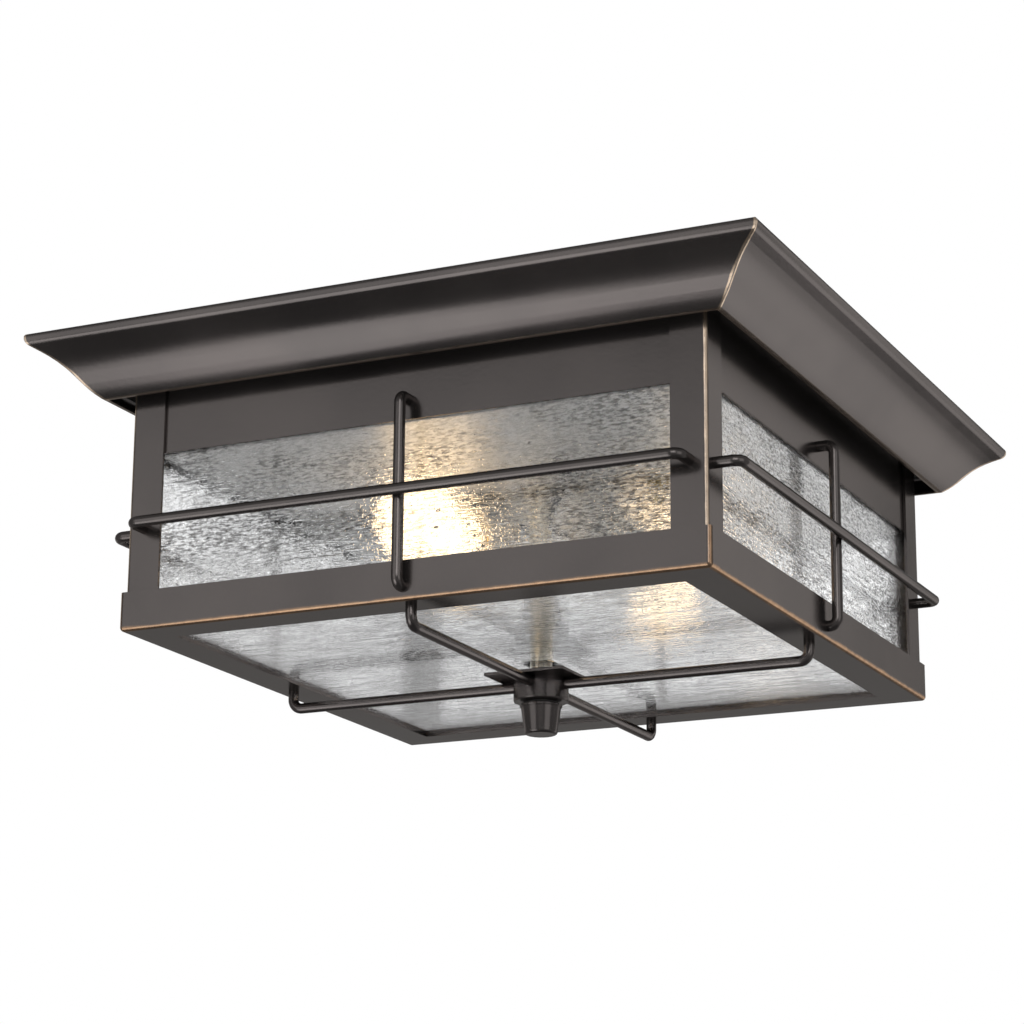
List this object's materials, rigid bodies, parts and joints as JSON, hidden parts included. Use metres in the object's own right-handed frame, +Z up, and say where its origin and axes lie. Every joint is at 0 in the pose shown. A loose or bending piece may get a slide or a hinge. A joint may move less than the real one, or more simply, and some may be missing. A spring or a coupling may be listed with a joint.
{
  "type": "flush-mount ceiling light",
  "caption": "Square flush-mount porch ceiling light: crown canopy, wire-guarded cage of seeded glass panes, screw-in lamps and a centre knob that lets the cage down.",
  "frame": {"origin": "middle of the ceiling plane, on the top face of the mounting bar", "axes": "+Z up into the ceiling, +X and +Y square to the sides, with -Y the side that the picture shows at the left"},
  "size_m": [0.318, 0.318, 0.1493],
  "materials": {
    "bronze": "satin oil-rubbed bronze paint, rubbed through to copper along its edges",
    "pan_plate": "bright plated reflector sheet",
    "seeded_glass": "clear seeded glass with ripples and small bubbles",
    "zinc_steel": "zinc-plated",
    "brass": "plain",
    "porcelain": "glazed white",
    "bulb_glass": "soft white, lit",
    "bulb_base": "rolled thread",
    "bulb_insulator": "black insulator",
    "green_screw": "green",
    "bushing_plastic": "black nylon",
    "white_wire": "white insulation",
    "black_wire": "black insulation",
    "connector_plastic": "moulded orange",
    "washer_nylon": "black nylon"
  },
  "bodies": {
    "canopy": {"black_leads": "black_wire", "bracket_rivets": "zinc_steel", "cap_nuts": "brass", "centre_contacts": "brass", "centre_nipple": "zinc_steel", "crown_canopy": "bronze", "ground_screw": "green_screw", "lamp_pan": "pan_plate", "lampholder_a": "porcelain", "lampholder_b": "porcelain", "lampholder_bracket_a": "zinc_steel", "lampholder_bracket_b": "zinc_steel", "lampholder_screws": "zinc_steel", "lead_bushings": "bushing_plastic", "mounting_bar": "zinc_steel", "mounting_studs": "zinc_steel", "nipple_nuts": "zinc_steel", "nipple_washer": "zinc_steel", "screw_shell_a": "brass", "screw_shell_b": "brass", "white_leads": "white_wire", "wire_connectors": "connector_plastic"},
    "cage": {"bottom_glass": "seeded_glass", "bottom_tray": "bronze", "corner_post_back_left": "bronze", "corner_post_back_right": "bronze", "corner_post_front_left": "bronze", "corner_post_front_right": "bronze", "glass_clips": "zinc_steel", "guard_arm_back": "bronze", "guard_arm_front": "bronze", "guard_arm_left": "bronze", "guard_arm_right": "bronze", "guard_bar_back": "bronze", "guard_bar_front": "bronze", "guard_bar_left": "bronze", "guard_bar_right": "bronze", "guard_upright_back": "bronze", "guard_upright_front": "bronze", "guard_upright_left": "bronze", "guard_upright_right": "bronze", "hub_cup": "bronze", "hub_plate": "bronze", "side_glass_back": "seeded_glass", "side_glass_front": "seeded_glass", "side_glass_left": "seeded_glass", "side_glass_right": "seeded_glass", "top_rail_back": "bronze", "top_rail_front": "bronze", "top_rail_left": "bronze", "top_rail_right": "bronze"},
    "knob_carrier": {"knob_washer": "washer_nylon"},
    "knob": {"finial_knob": "bronze"},
    "bulb_a_carrier": {"bulb_a_tip": "bulb_insulator"},
    "bulb_a": {"bulb_a_base": "bulb_base", "bulb_a_globe": "bulb_glass"},
    "bulb_b_carrier": {"bulb_b_tip": "bulb_insulator"},
    "bulb_b": {"bulb_b_base": "bulb_base", "bulb_b_globe": "bulb_glass"}
  },
  "joints": [
    {"name": "cage_lower", "type": "slide", "parent": "canopy", "child": "cage", "axis": [0, 0, -1], "range_m": [0, 0.149]},
    {"name": "knob_travel", "type": "slide", "parent": "cage", "child": "knob_carrier", "axis": [0, 0, -1], "range_m": [0, 0.008]},
    {"name": "knob_turn", "type": "hinge", "parent": "knob_carrier", "child": "knob", "pos_m": [0, 0, -0.13648], "axis": [0, 0, -1], "range_deg": [0, 3060]},
    {"name": "bulb_a_travel", "type": "slide", "parent": "canopy", "child": "bulb_a_carrier", "axis": [0, -1, 0], "range_m": [0, 0.02178]},
    {"name": "bulb_a_turn", "type": "hinge", "parent": "bulb_a_carrier", "child": "bulb_a", "pos_m": [-0.028, 0.0005, -0.06898], "axis": [0, -1, 0], "range_deg": [0, 2160]},
    {"name": "bulb_b_travel", "type": "slide", "parent": "canopy", "child": "bulb_b_carrier", "axis": [0, 1, 0], "range_m": [0, 0.02178]},
    {"name": "bulb_b_turn", "type": "hinge", "parent": "bulb_b_carrier", "child": "bulb_b", "pos_m": [0.028, -0.0005, -0.06898], "axis": [0, 1, 0], "range_deg": [0, 2160]}
  ],
  "couplings": [
    {"joint": "knob_travel", "follows": "knob_turn", "m_per_rad": 0.00014972},
    {"joint": "bulb_a_travel", "follows": "bulb_a_turn", "m_per_rad": 0.00057773},
    {"joint": "bulb_b_travel", "follows": "bulb_b_turn", "m_per_rad": 0.00057773}
  ]
}
